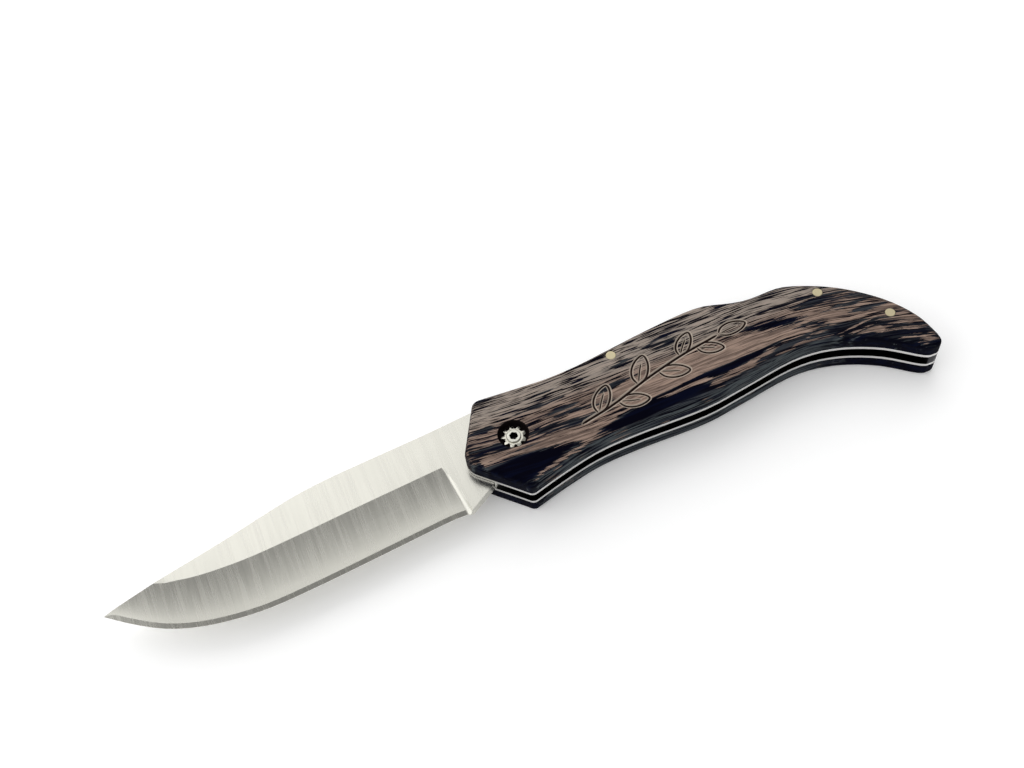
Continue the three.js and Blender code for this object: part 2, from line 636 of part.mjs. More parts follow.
// Pivot screw: turned head and shank with a six-sided socket
function screwSolid() {
  const shank = SCREW_SHANK_DIAMETER / 2;
  const head = SCREW_HEAD_DIAMETER / 2;
  const top = SCREW_SEAT + SCREW_HEAD_HEIGHT;
  const profile = [
    new THREE.Vector2(0, SCREW_SEAT - SCREW_SHANK_LENGTH),
    new THREE.Vector2(shank, SCREW_SEAT - SCREW_SHANK_LENGTH),
    new THREE.Vector2(shank, SCREW_SEAT),
    new THREE.Vector2(head, SCREW_SEAT),
    new THREE.Vector2(head, top - SCREW_HEAD_EDGE),
    new THREE.Vector2(head - SCREW_HEAD_EDGE, top),
    new THREE.Vector2(0, top),
  ];
  const socketRadius = HEX_SOCKET_FLATS / Math.sqrt(3);
  const socket = post(AXIS, socketRadius, top - HEX_SOCKET_DEPTH, top + CUT_PAST, 6);
  return toSolid(new THREE.LatheGeometry(profile, SEGMENTS).rotateX(Math.PI / 2)).subtract(socket);
}

const pinSolid = (place) => post(place, PIN_DIAMETER / 2, -SCALE_OUTSIDE, SCALE_OUTSIDE);

// Mirrors a closed geometry through z = 0 and turns its faces outwards again
function mirrored(geometry) {
  const twin = geometry.clone().scale(1, 1, -1);
  const index = twin.index.array;
  for (let corner = 0; corner < index.length; corner += 3) {
    [index[corner + 1], index[corner + 2]] = [index[corner + 2], index[corner + 1]];
  }
  twin.computeVertexNormals();
  return twin;
}

const finishes = {
  blade: { color: 0xc9c8c0, roughness: 0.32, metalness: 1 },
  wood: { color: 0x6f6257, roughness: 0.48, metalness: 0 },
  liner: { color: 0xb4b4b4, roughness: 0.35, metalness: 1 },
  lock: { color: 0xa9aaa8, roughness: 0.36, metalness: 1 },
  spring: { color: 0x8c8d8f, roughness: 0.42, metalness: 1 },
  blackened: { color: 0x2a2a2c, roughness: 0.5, metalness: 1 },
  brass: { color: 0xc5b06a, roughness: 0.35, metalness: 1 },
  bronze: { color: 0xa9793f, roughness: 0.4, metalness: 1 },
  screw: { color: 0xc4c2b2, roughness: 0.25, metalness: 1 },
};

const knife = new THREE.Group();

function addPiece(name, geometry, finish) {
  const piece = new THREE.Mesh(geometry, new THREE.MeshStandardMaterial(finishes[finish]));
  piece.name = name;
  knife.add(piece);
}

// Adds a piece on the upper side and its twin on the lower side
function addPair(name, geometry, finish) {
  addPiece(`upper_${name}`, geometry, finish);
  addPiece(`lower_${name}`, mirrored(geometry), finish);
}

addPiece("blade", toGeometry(bladeSolid()), "blade");
addPiece("lock_bar", toGeometry(lockBarSolid()), "lock");
addPiece("lock_spring", toGeometry(springSolid()), "spring");
addPiece("back_spacer", toGeometry(spacerSolid()), "blackened");
addPair("liner", toGeometry(linerSolid()), "liner");
addPair("scale", toGeometry(scaleSolid()), "wood");
addPiece("lock_bar_pin", toGeometry(pinSolid(LOCK_PIN)), "brass");
addPiece("spacer_pin_front", toGeometry(pinSolid(SPACER_PIN_FRONT)), "brass");
addPiece("spacer_pin_rear", toGeometry(pinSolid(SPACER_PIN_REAR)), "brass");
addPiece(
  "pivot_barrel",
  toGeometry(ringSolid(BARREL_BORE / 2, BARREL_DIAMETER / 2, -COUNTERBORE_FLOOR, COUNTERBORE_FLOOR)),
  "screw",
);
addPair(
  "tang_washer",
  toGeometry(ringSolid(
    BARREL_DIAMETER / 2 + BLADE_BORE_PLAY,
    TANG_WASHER_DIAMETER / 2,
    BLADE_THICKNESS / 2,
    LINER_INSIDE,
  )),
  "bronze",
);
addPair("star_washer", toGeometry(starWasherSolid()), "screw");
addPair("pivot_screw", toGeometry(screwSolid()), "screw");

const box = new THREE.Box3().setFromObject(knife);
const centre = box.getCenter(new THREE.Vector3());
knife.position.set(-centre.x, -centre.y, -box.min.z);

export default knife;
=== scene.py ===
"""Looks of an open folding pocket knife: ground steel, carved streaked wood and brass pins."""
import math

import bmesh
import bpy
from mathutils import Matrix, Vector
from mathutils.kdtree import KDTree


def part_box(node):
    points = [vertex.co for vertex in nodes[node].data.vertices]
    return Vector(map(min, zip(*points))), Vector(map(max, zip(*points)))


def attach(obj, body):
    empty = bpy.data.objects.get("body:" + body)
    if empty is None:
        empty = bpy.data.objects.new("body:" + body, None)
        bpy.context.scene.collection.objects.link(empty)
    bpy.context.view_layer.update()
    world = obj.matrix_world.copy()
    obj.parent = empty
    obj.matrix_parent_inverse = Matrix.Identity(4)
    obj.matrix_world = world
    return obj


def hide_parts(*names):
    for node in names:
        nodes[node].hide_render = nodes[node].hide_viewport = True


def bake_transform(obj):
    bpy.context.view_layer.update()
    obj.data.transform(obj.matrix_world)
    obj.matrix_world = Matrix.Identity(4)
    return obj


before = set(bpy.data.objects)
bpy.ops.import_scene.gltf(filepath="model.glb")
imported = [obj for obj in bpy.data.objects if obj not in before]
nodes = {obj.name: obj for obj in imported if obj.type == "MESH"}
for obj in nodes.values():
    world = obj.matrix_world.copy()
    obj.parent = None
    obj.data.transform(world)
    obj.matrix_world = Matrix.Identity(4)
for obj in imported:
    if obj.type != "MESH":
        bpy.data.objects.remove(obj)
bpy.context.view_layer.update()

MM = 0.001


def middle(node):
    """Middle of a CAD node's box."""
    low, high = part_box(node)
    return (low + high) / 2


PIVOT = middle("pivot_barrel")
TOP_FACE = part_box("upper_scale")[1].z
HALF_KNIFE = (TOP_FACE - PIVOT.z) / MM  # from the blade's middle to the upper face


# Camera

FOCAL_LENGTH = 42.1875  # 1200 px on a frame 1024 px wide
SENSOR_WIDTH = 36
NEAR_CLIP = 0.01  # in metres
CAMERA_PLACE = Vector((-39.10, -140.78, 253.92)) * MM
CAMERA_HEADING = math.radians(15.4307)  # from +Y towards +X
CAMERA_FALL = math.radians(56)  # below the horizon
CAMERA_ROLL = math.radians(8.5894)


def add_camera():
    """The camera at the photo's place and angle."""
    forward = Vector((
        math.sin(CAMERA_HEADING) * math.cos(CAMERA_FALL),
        math.cos(CAMERA_HEADING) * math.cos(CAMERA_FALL),
        -math.sin(CAMERA_FALL),
    ))
    level_right = forward.cross(Vector((0, 0, 1))).normalized()
    level_up = level_right.cross(forward)
    right = math.cos(CAMERA_ROLL) * level_right - math.sin(CAMERA_ROLL) * level_up
    up = math.sin(CAMERA_ROLL) * level_right + math.cos(CAMERA_ROLL) * level_up
    data = bpy.data.cameras.new("camera")
    data.lens = FOCAL_LENGTH
    data.sensor_width = SENSOR_WIDTH
    data.clip_start = NEAR_CLIP
    camera = bpy.data.objects.new("camera", data)
    turn = Matrix((right, up, -forward)).transposed().to_4x4()
    camera.matrix_world = Matrix.Translation(CAMERA_PLACE) @ turn
    bpy.context.scene.collection.objects.link(camera)
    bpy.context.scene.camera = camera


# Node helpers

WHITE = (1, 1, 1, 1)
NOISE_MEAN = 0.5
MIX_COLOURS = (6, 7)  # places of the two colours among the Mix node's inputs
MIX_RESULT = 2  # and of the mixed colour among its outputs


def plug(tree, socket, value):
    """Links a socket to another one or sets its value, where a colour is given as three numbers."""
    if isinstance(value, bpy.types.NodeSocket):
        tree.links.new(value, socket)
    elif socket.type == "RGBA":
        socket.default_value = (*value, 1)
    else:
        socket.default_value = value


def put(tree, kind, *inputs, **settings):
    """Adds a node with the given inputs, in the order of its sockets. None leaves one as it is."""
    node = tree.nodes.new(kind)
    for name, value in settings.items():
        setattr(node, name, value)
    for socket, value in zip(node.inputs, inputs):
        if value is not None:
            plug(tree, socket, value)
    return node


def maths(tree, operation, *inputs):
    return put(tree, "ShaderNodeMath", *inputs, operation=operation).outputs[0]


def vectors(tree, operation, *inputs):
    node = put(tree, "ShaderNodeVectorMath", *inputs, operation=operation)
    return node.outputs["Value" if operation in ("LENGTH", "DOT_PRODUCT") else "Vector"]


def split(tree, vector):
    """The parts X, Y and Z of a vector."""
    return put(tree, "ShaderNodeSeparateXYZ", vector).outputs


def flat(tree, x, y):
    """The vector (x, y, 0)."""
    return put(tree, "ShaderNodeCombineXYZ", x, y, 0.0).outputs[0]


def facing(tree):
    """The parts X, Y and Z of the direction in which a face looks."""
    return split(tree, put(tree, "ShaderNodeTexCoord").outputs["Normal"])


def ranged(tree, value, low, high, to_low=0.0, to_high=1.0):
    """Value from low to high, eased, as to_low to to_high, and level beyond."""
    return put(
        tree, "ShaderNodeMapRange", value, low, high, to_low, to_high,
        interpolation_type="SMOOTHSTEP").outputs[0]


def around(tree, value, reach):
    """Noise with its mean at 0, times a reach."""
    return maths(tree, "MULTIPLY", maths(tree, "SUBTRACT", value, NOISE_MEAN), reach)


def blended(tree, factor, a, b):
    """Number a where factor is 0, b where it is 1."""
    return put(tree, "ShaderNodeMix", factor, None, a, b).outputs[0]


def tinted(tree, factor, a, b):
    """Colour a where factor is 0, b where it is 1."""
    node = put(tree, "ShaderNodeMix", factor, data_type="RGBA")
    for place, colour in zip(MIX_COLOURS, (a, b)):
        plug(tree, node.inputs[place], colour)
    return node.outputs[MIX_RESULT]


def noise(tree, vector, stretch, detail, roughness, output="Fac"):
    """Noise whose scale for each millimetre is given along x, y and z."""
    place = vectors(tree, "MULTIPLY", vector, stretch)
    return put(tree, "ShaderNodeTexNoise", place, None, 1.0, detail, roughness).outputs[output]


def knife_place(tree):
    """Place on the knife in millimetres from the pivot's axis and the blade's middle."""
    coordinates = put(tree, "ShaderNodeTexCoord").outputs["Object"]
    node = put(tree, "ShaderNodeMapping", coordinates)
    node.inputs["Location"].default_value = -PIVOT / MM
    node.inputs["Scale"].default_value = (1 / MM, 1 / MM, 1 / MM)
    return node.outputs[0]


def bump(tree, height, distance, strength):
    node = put(tree, "ShaderNodeBump")
    node.inputs["Strength"].default_value = strength
    node.inputs["Distance"].default_value = distance
    tree.links.new(height, node.inputs["Height"])
    return node.outputs[0]


def shaded(name, build, **constants):
    """Material whose shader has the links that the build function gives, and the constants."""
    material = bpy.data.materials.new(name)
    material.use_nodes = True
    tree = material.node_tree
    shader = tree.nodes["Principled BSDF"]
    for socket, value in constants.items():
        shader.inputs[socket.replace("_", " ")].default_value = value
    for socket, value in build(tree).items():
        tree.links.new(value, shader.inputs[socket])
    return material


# Light and floor

# Pairs are ranges of the direction's X to the right, Y to the back or Z up
HORIZON_LEVEL = 1.0
# The dome's level by Y: dim overhead and in front, bright at the back
DOME = (
    (0.0, 0.285), (0.18, 0.257), (0.26, 0.266), (0.34, 0.42),
    (0.39, 0.66), (0.415, 0.92), (0.44, 1.23), (0.47, 1.40),
)
BRIGHTEST = 2.0  # the level that stands as white in the dome's ramp
RIGHT_X = (0.01, 0.13)  # where the dome passes to its right side
RIGHT_SHARE = 0.8  # level of that side against the dome's middle
SIDE_X = (-0.42, -0.6)  # where the left side begins
SIDE_LEVEL = 1.40  # its least level
FRONT_Y = (-0.2, -0.6)  # where the front begins
FRONT_LEVEL = 0.55  # its least level
DOME_Z = (0.12, 0.5)  # where the horizon passes into the dome
LAMP_DIRECTION = Vector((-0.42, 0.72, 0.55))  # towards the lamp
LAMP_SPREAD = math.radians(140)
LAMP_LEVEL = 1.32
FLOOR_SIZE = 6.0  # in metres
FLOOR_COLOUR = (0.93, 0.93, 0.93, 1)
FLOOR_ROUGHNESS = 0.9
FLOOR_SHINE = 0.1
FLOOR_LIFT = 0.155  # what the floor gives off to the camera and to reflections, to look white


def add_world():
    """A studio dome: white round the horizon, dim overhead, bright at the back and on the left."""
    world = bpy.data.worlds.new("studio")
    world.use_nodes = True
    bpy.context.scene.world = world
    tree = world.node_tree
    direction = split(tree, put(tree, "ShaderNodeTexCoord").outputs["Generated"])
    ramp = put(tree, "ShaderNodeValToRGB", direction["Y"])
    stops = ramp.color_ramp.elements
    while len(stops) < len(DOME):
        stops.new(DOME[-1][0])
    for stop, (place, level) in zip(stops, DOME):
        grey = level / BRIGHTEST
        stop.position = place
        stop.color = (grey, grey, grey, 1)
    right = ranged(tree, direction["X"], *RIGHT_X, BRIGHTEST, BRIGHTEST * RIGHT_SHARE)
    dome = maths(tree, "MULTIPLY", ramp.outputs[0], right)
    side = ranged(tree, direction["X"], *SIDE_X, 0.0, SIDE_LEVEL)
    front = ranged(tree, direction["Y"], *FRONT_Y, 0.0, FRONT_LEVEL)
    dome = maths(tree, "MAXIMUM", maths(tree, "MAXIMUM", dome, side), front)
    level = blended(tree, ranged(tree, direction["Z"], *DOME_Z), HORIZON_LEVEL, dome)
    background = tree.nodes["Background"]
    background.inputs["Color"].default_value = WHITE
    tree.links.new(level, background.inputs["Strength"])


def add_lamp():
    """Broad soft light from behind and the left, which metal doesn't mirror."""
    data = bpy.data.lights.new("soft_light", "SUN")
    data.energy = LAMP_LEVEL
    data.angle = LAMP_SPREAD
    lamp = bpy.data.objects.new("soft_light", data)
    lamp.rotation_euler = LAMP_DIRECTION.to_track_quat("Z", "Y").to_euler()
    lamp.visible_glossy = False
    bpy.context.scene.collection.objects.link(lamp)


def floor_glow(tree):
    ray = put(tree, "ShaderNodeLightPath").outputs
    seen = maths(tree, "ADD", ray["Is Camera Ray"], ray["Is Glossy Ray"])
    seen = maths(tree, "ADD", seen, ray["Is Transmission Ray"])
    return {"Emission Strength": maths(tree, "MULTIPLY", seen, FLOOR_LIFT)}


def add_floor():
    bpy.ops.mesh.primitive_plane_add(size=FLOOR_SIZE)
    floor = bpy.context.object
    floor.name = "floor"
    floor.data.materials.append(shaded(
        "floor", floor_glow, Base_Color=FLOOR_COLOUR, Roughness=FLOOR_ROUGHNESS,
        Specular_IOR_Level=FLOOR_SHINE, Emission_Color=WHITE))


# Wood: places and lengths are in mm from the pivot's axis, +X to the butt and +Y to the spine

NAVY_BLACK = (0.0005, 0.0005, 0.0040)
NAVY = (0.0010, 0.0019, 0.0100)
SLATE = (0.038, 0.042, 0.048)
BELLY_SLATE = (0.066, 0.076, 0.082)
UMBER = (0.130, 0.093, 0.077)
TAN = (0.325, 0.234, 0.186)
ASH = (0.335, 0.295, 0.256)
# raw wood's colour, which on the grooves' lips is partly a painted highlight
RAW_WOOD_AND_HIGHLIGHT = (0.480, 0.410, 0.340)
# painted shade, near black, for the wall of the counterbore at the pivot
RECESS_SHADE = (0.008, 0.0055, 0.0055)
# painted shade at the bottoms of the carved grooves
GROOVE_SHADE = (0.026, 0.016, 0.014)

# Figure of the wood, laid over its bands in this order. Each is a pointed lens on the face:
# middle x, y and half length, half width, tilt in degrees, bow in mm, tone from black 0 to tan 1,
# and how much of what lies under it is covered.
FIGURE = (
    (25, 7.0, 60, 6.0, 0, 0, 0.55, 0.8),
    (44, -1.6, 30, 3.6, 0, 0, 1.0, 0.96),
    (3, -5.9, 17, 1.1, -7, 0, 0.95, 0.9),
    (80, -2.6, 14, 3.0, -13, 0, 0.7, 0.7),
    (53, 9.8, 11, 1.4, 2, 0.4, 0.55, 0.6),
    (50, 12.0, 16, 1.6, 2, 0.2, 0.44, 0.7),
    (-2, 1.0, 20, 4.0, 0, 0, 0.46, 0.5),
    (34, 2.8, 16, 0.9, 1, 0, 0.75, 0.6),
    (40, -11.9, 46, 2.6, 0, 0.5, 0.14, 0.95),
    (15, -7.9, 7, 1.2, -6, 0, 0.95, 0.95),
    (-7.5, -10.2, 22, 4.2, 3.6, 0, 0.0, 0.98),
    (9, -11.2, 9, 0.45, 15, 0, 0.85, 0.85),
    (-5, -15.2, 9, 3.2, -14, 0, 0.0, 0.98),
    (0, -4.9, 8, 0.22, -1, 0, 0.1, 0.85),
    (14, -4.3, 5, 0.25, -6, 0, 0.1, 0.85),
    (34, -7.6, 16, 2.1, 4, 0, 0.0, 0.98),
    (50, -5.3, 21, 1.1, 3, 0.4, 0.0, 0.96),
    (46, -8.2, 15, 1.1, 2, 0, 0.02, 0.95),
    (44, -6.2, 8, 0.55, -2, 0, 0.85, 0.85),
    (57, -7.0, 9, 0.8, 8, 0, 0.8, 0.8),
    (67, -8.9, 15, 1.9, 2, 0, 0.2, 0.95),
    (28, 2.3, 7, 0.8, 2, 0, 0.03, 0.9),
    (68, 1.9, 10, 0.9, -14, 0, 0.0, 0.96),
    (76, -1.8, 8, 0.8, -22, 0, 0.05, 0.9),
    (42, 8.2, 4.5, 1.5, 3, 0, 0.2, 0.6),
    (31, 7.4, 4, 0.5, 0, 0, 0.2, 0.7),
    (12, 7.3, 6, 0.3, 0, 0, 0.1, 0.8),
    (-6.5, 3.7, 3.4, 0.8, 0, 0, 0.06, 0.9),
    (9, 4.7, 7, 0.4, 0, 0, 0.15, 0.8),
    (13, 1.3, 4.5, 0.6, 0, 0, 0.1, 0.85),
    (15, -0.5, 6, 0.6, -2, 0, 0.04, 0.9),
    (9, -2.5, 8.5, 0.8, -7, 0, 0.04, 0.9),
    (-7, -1.2, 5, 0.6, -4, 0, 0.06, 0.85),
    (22, -3.2, 7, 0.35, -3, 0, 0.1, 0.85),
    (23, -1.4, 6, 0.3, -3, 0, 0.1, 0.8),
    (70, -5.8, 9, 0.7, 6, 0, 0.04, 0.85),
    (84, -7.6, 11, 1.1, -9, 0, 0.1, 0.85),
    (90, 1.5, 8, 0.9, -24, 0, 0.1, 0.8),
    (82, 3.0, 6, 0.9, -8, 0, 0.08, 0.85),
    (88.5, -1.3, 5, 0.6, -8, 0, 0.08, 0.85),
    (92, -4.2, 5, 0.9, -10, 0, 0.1, 0.85),
    (94, -13.6, 18, 4.3, -31, 0, 0.04, 0.94),
    (91.3, -11.0, 3, 0.8, -22, 0, 1.0, 0.9),
    (97, -13.7, 5.5, 0.3, -20, 0, 1.0, 0.95),
    (99, -11.4, 4, 0.35, -16, 0, 1.0, 0.95),
    (98, -16.7, 4, 0.35, -18, 0, 1.0, 0.95),
    (101.5, -18.2, 3, 0.9, -25, 0, 0.85, 0.85),
    (88, -7.7, 4.5, 0.28, 1, 0, 1.0, 0.95),
    (88.5, -9.2, 3, 0.26, -5, 0, 1.0, 0.95),
    (75, -1.6, 4.5, 0.28, -6, 0, 1.0, 0.95),
)
LENS_SOFTNESS = 0.25  # half the breadth of a lens's soft rim against the lens's own reach

# Noises of the wood: scale for each millimetre along x, y and z, detail and roughness
SWAY = ((0.05, 0.12, 0.05), 2.0, 0.5)  # slow bends of the grain
JAG = ((0.12, 2.4, 0.6), 3.0, 0.6)  # torn rims of the figure
BAND = ((0.03, 0.5, 0.45), 3.0, 0.5)  # broad bands under the figure
FIBRE = ((0.12, 3.0, 1.1), 1.0, 0.45)  # pale and dark streaks
STRAND = ((0.2, 4.4, 1.8), 2.0, 0.5)  # finer streaks within them
SHADE = ((0.1, 2.6, 0.9), 3.0, 0.55)  # the pale wood from umber to tan
LINE = ((0.08, 3.4, 1.6), 2.0, 0.5)  # slate lines in the dark wood
BLUE = ((0.06, 0.9, 0.8), 2.0, 0.5)  # navy in the black
HAIR = ((0.3, 8.0, 3.0), 2.0, 0.6)  # pores

SWAY_REACH = (8, 1.8, 2)
JAG_REACH = (15.0, 0.7)  # along and across the grain
BUTT_BOW = (62.0, 0.0045)  # X past which the grain bows to the belly, and by how much
NOSE_BOW = (20.0, 0.002)  # X before which it bows to the spine, and by how much
# From here each pair is a range in which a share goes from 0 to 1. Where two numbers more are
# given, it goes from the first of them to the second.
BAND_TONE = 0.49
BAND_REACH = 0.9
# The front corner towards the belly is black: X and Y where that begins and is full, and its cover
CORNER_X = (-9.2, -10.4)
CORNER_Y = (-3.0, -4.6)
CORNER_COVER = 0.9
BELLY_FACING = (-0.25, -0.7)  # Y that the sides towards the belly face
BELLY_TONE = 0.16  # their tone
BELLY_COVER = 0.78  # how much of the figure it covers
BELLY_FRONT = (-3.0, 8.0, 0.3, 1.0)  # share of that tone by X, at the front
BELLY_BUTT = (70.0, 84.0, BELLY_TONE, 0.02)  # the tone by X, at the butt
SIDE_FACING = (0.35, 0.75)  # Y that a side faces, either way
SIDE_STRETCH = (1, 0.12, 2.0)  # scale of the streaks on the sides against that on the faces
FIBRE_REACH = 0.66  # how far the tone adds to the pale fibres, and to the pale strands
STRAND_REACH = 0.25
FIBRE_LIGHT = (0.44, 0.51)
STRAND_LIGHT = (0.35, 0.45, 0.2, 1.0)
END_LIGHT = (0.35, 0.85, 1.0, 0.3)  # share of the pale streaks by the X that end grain faces
TAN_SHARE = (0.36, 0.64)
ASH_SHARE = (2.0, 7.0, 0.0, 0.7)  # by Y, as the pale wood is greyer towards the spine
LINE_SHARE = (0.40, 0.56)
LINE_FROM = (0.02, 0.16)  # tones in which the slate lines come in
LINE_UNTIL = (0.5, 0.26)  # tones in which they go again, from the pale end
NAVY_SHARE = (0.48, 0.62)
PORE_SHARE = (0.42, 0.30, 0.0, 0.75)
HAIR_ROUGHNESS = (0.3, 0.7, 0.64, 0.5)
LIGHT_HEIGHT = 0.25  # how far pale streaks stand over dark ones, against the pores' depth
WOOD_RELIEF = 5e-5  # in metres
WOOD_BUMP = 0.5
WOOD_SHINE = 0.02
RAW_AND_HIGHLIGHT_SHARE = 0.65  # how much of the pale colour the grooves take: raw wood, and partly a painted highlight on their lips
GROOVE_NOISE = 0.08
GROOVE_SHADE_DEPTH = (0.12, 0.24)  # painted shade towards a groove's bottom, by the depth in it
RECESS_RADIUS = 3.75  # of the counterbore at the pivot
RECESS_SHADE_REACH = (RECESS_RADIUS + 0.12, RECESS_RADIUS + 0.02)  # painted shade on the counterbore's wall, by the distance from the pivot's axis
LOWER_SHIFT = (-2, 0.4, 40)
LOWER_DARKER = 0.18


def figure_group():
    """Node group that lays one lens of the figure over a tone."""
    group = bpy.data.node_groups.new("wood_figure", "ShaderNodeTree")
    face = group.interface
    for name, kind in (
        ("Place", "NodeSocketVector"), ("Tone", "NodeSocketFloat"),
        ("Middle", "NodeSocketVector"), ("Along", "NodeSocketVector"),
        ("Across", "NodeSocketVector"), ("Bow", "NodeSocketFloat"),
        ("Figure Tone", "NodeSocketFloat"), ("Cover", "NodeSocketFloat"),
    ):
        face.new_socket(name, in_out="INPUT", socket_type=kind)
    face.new_socket("Tone", in_out="OUTPUT", socket_type="NodeSocketFloat")
    given = group.nodes.new("NodeGroupInput").outputs
    place = vectors(group, "SUBTRACT", given["Place"], given["Middle"])
    along = vectors(group, "DOT_PRODUCT", place, given["Along"])
    across = vectors(group, "DOT_PRODUCT", place, given["Across"])
    bend = maths(group, "MULTIPLY", along, along)
    bowed = maths(group, "SUBTRACT", across, maths(group, "MULTIPLY", bend, given["Bow"]))
    distance = maths(group, "ADD", bend, maths(group, "ABSOLUTE", bowed))
    outside = maths(group, "SUBTRACT", distance, 1.0)
    fade = maths(group, "DIVIDE", outside, LENS_SOFTNESS)
    inside = ranged(group, fade, 1.0, -1.0)
    cover = maths(group, "MULTIPLY", inside, given["Cover"])
    put(group, "NodeGroupOutput", blended(group, cover, given["Tone"], given["Figure Tone"]))
    return group


def with_figure(tree, place, tone, group):
    """The tone with the whole figure laid over it."""
    for x, y, half_length, half_width, tilt, bow, figure_tone, cover in FIGURE:
        turn = math.radians(tilt)
        along = Vector((math.cos(turn), math.sin(turn), 0)) / half_length
        across = Vector((-math.sin(turn), math.cos(turn), 0)) / half_width
        tone = put(
            tree, "ShaderNodeGroup", place, tone, (x, y, 0), along, across, bow / half_width,
            figure_tone, cover, node_tree=group).outputs[0]
    return tone


def bent(tree, distance, share):
    """A bend that begins where the distance is 0: its square times a share."""
    past = maths(tree, "MAXIMUM", distance, 0.0)
    return maths(tree, "MULTIPLY", maths(tree, "POWER", past, 2.0), share)


def grained(tree, moved, parts):
    """The place as a slow noise sways it, and the same with the bows of the grain."""
    sway = noise(tree, moved, *SWAY, "Color")
    swing = vectors(tree, "SUBTRACT", sway, (NOISE_MEAN, NOISE_MEAN, NOISE_MEAN))
    swayed = vectors(tree, "ADD", moved, vectors(tree, "MULTIPLY", swing, SWAY_REACH))
    butt, fall = BUTT_BOW
    nose, climb = NOSE_BOW
    drop = bent(tree, maths(tree, "SUBTRACT", parts["X"], butt), fall)
    rise = bent(tree, maths(tree, "SUBTRACT", nose, parts["X"]), climb)
    lift = flat(tree, 0.0, maths(tree, "SUBTRACT", drop, rise))
    return swayed, vectors(tree, "ADD", swayed, lift)


def wood_tone(tree, swayed, grain, parts, belly, group, darker):
    """Tone of the wood from black 0 to tan 1: bands, figure, black corner and belly."""
    jag = noise(tree, grain, *JAG)
    along, across = (around(tree, jag, reach) for reach in JAG_REACH)
    jagged = vectors(tree, "ADD", swayed, flat(tree, along, across))
    tone = maths(tree, "ADD", BAND_TONE, around(tree, noise(tree, grain, *BAND), BAND_REACH))
    tone = with_figure(tree, jagged, tone, group)
    corner = maths(
        tree, "MULTIPLY", ranged(tree, parts["X"], *CORNER_X),
        ranged(tree, parts["Y"], *CORNER_Y, 0.0, CORNER_COVER))
    tone = maths(tree, "SUBTRACT", blended(tree, corner, tone, 0.0), darker)
    belly_tone = maths(
        tree, "MULTIPLY", ranged(tree, parts["X"], *BELLY_FRONT),
        ranged(tree, parts["X"], *BELLY_BUTT))
    return blended(tree, maths(tree, "MULTIPLY", belly, BELLY_COVER), tone, belly_tone)


def streaks(tree, grain, side, stretch, detail, roughness):
    """Noise in long streaks, which on the sides lie in layers instead of crossing the outline."""
    layers = tuple(share * part for share, part in zip(SIDE_STRETCH, stretch))
    return blended(
        tree, side,
        noise(tree, grain, stretch, detail, roughness),
        noise(tree, grain, layers, detail, roughness))


def wood(name, group, shift=(0, 0, 0), darker=0.0, carved=False):
    """Dark streaked wood. The shift moves its figure, so that two boards differ, and one may be
    darker. Carved, its grooves take raw wood's colour, partly a painted highlight on their lips,
    and a painted shade towards their bottoms. Uncarved, the counterbore's wall takes a painted
    shade."""
    def build(tree):
        place = knife_place(tree)
        moved = vectors(tree, "ADD", place, shift)
        parts = split(tree, moved)
        turned = facing(tree)
        belly = ranged(tree, turned["Y"], *BELLY_FACING)
        side = ranged(tree, maths(tree, "ABSOLUTE", turned["Y"]), *SIDE_FACING)
        swayed, grain = grained(tree, moved, parts)
        tone = wood_tone(tree, swayed, grain, parts, belly, group, darker)

        fibre = maths(
            tree, "ADD", streaks(tree, grain, side, *FIBRE), around(tree, tone, FIBRE_REACH))
        strand = maths(
            tree, "ADD", streaks(tree, grain, side, *STRAND), around(tree, tone, STRAND_REACH))
        light = maths(
            tree, "MULTIPLY",
            ranged(tree, fibre, *FIBRE_LIGHT), ranged(tree, strand, *STRAND_LIGHT))
        end_grain = ranged(tree, maths(tree, "ABSOLUTE", turned["X"]), *END_LIGHT)
        light = maths(tree, "MULTIPLY", light, end_grain)

        tan = ranged(tree, streaks(tree, grain, side, *SHADE), *TAN_SHARE)
        pale = tinted(tree, tan, UMBER, TAN)
        pale = tinted(tree, ranged(tree, parts["Y"], *ASH_SHARE), pale, ASH)
        line = ranged(tree, streaks(tree, grain, side, *LINE), *LINE_SHARE)
        line_tone = maths(
            tree, "MULTIPLY", ranged(tree, tone, *LINE_FROM), ranged(tree, tone, *LINE_UNTIL))
        blue = ranged(tree, noise(tree, grain, *BLUE), *NAVY_SHARE)
        dark = tinted(tree, blue, NAVY_BLACK, NAVY)
        slate = tinted(tree, belly, SLATE, BELLY_SLATE)
        dark = tinted(tree, maths(tree, "MULTIPLY", line, line_tone), dark, slate)
        colour = tinted(tree, light, dark, pale)
        hair = streaks(tree, grain, side, *HAIR)
        colour = tinted(tree, ranged(tree, hair, *PORE_SHARE), colour, NAVY_BLACK)

        spot = split(tree, place)
        if carved:
            depth = maths(tree, "SUBTRACT", HALF_KNIFE, spot["Z"])
            uneven = maths(tree, "ADD", depth, around(tree, hair, GROOVE_NOISE))
            # the grooves take a pale colour: raw wood, and partly a painted highlight on their lips
            cut = tinted(tree, RAW_AND_HIGHLIGHT_SHARE, colour, RAW_WOOD_AND_HIGHLIGHT)
            # and a painted shade towards their bottoms
            colour = tinted(tree, ranged(tree, uneven, *GROOVE_SHADE_DEPTH), cut, GROOVE_SHADE)
        else:
            # the wall of the counterbore at the pivot takes a painted shade
            out = vectors(tree, "LENGTH", flat(tree, spot["X"], spot["Y"]))
            colour = tinted(tree, ranged(tree, out, *RECESS_SHADE_REACH), colour, RECESS_SHADE)
        height = maths(tree, "ADD", hair, maths(tree, "MULTIPLY", light, LIGHT_HEIGHT))
        return {
            "Base Color": colour,
            "Roughness": ranged(tree, hair, *HAIR_ROUGHNESS),
            "Normal": bump(tree, height, WOOD_RELIEF, WOOD_BUMP),
        }
    return shaded(name, build, Specular_IOR_Level=WOOD_SHINE)


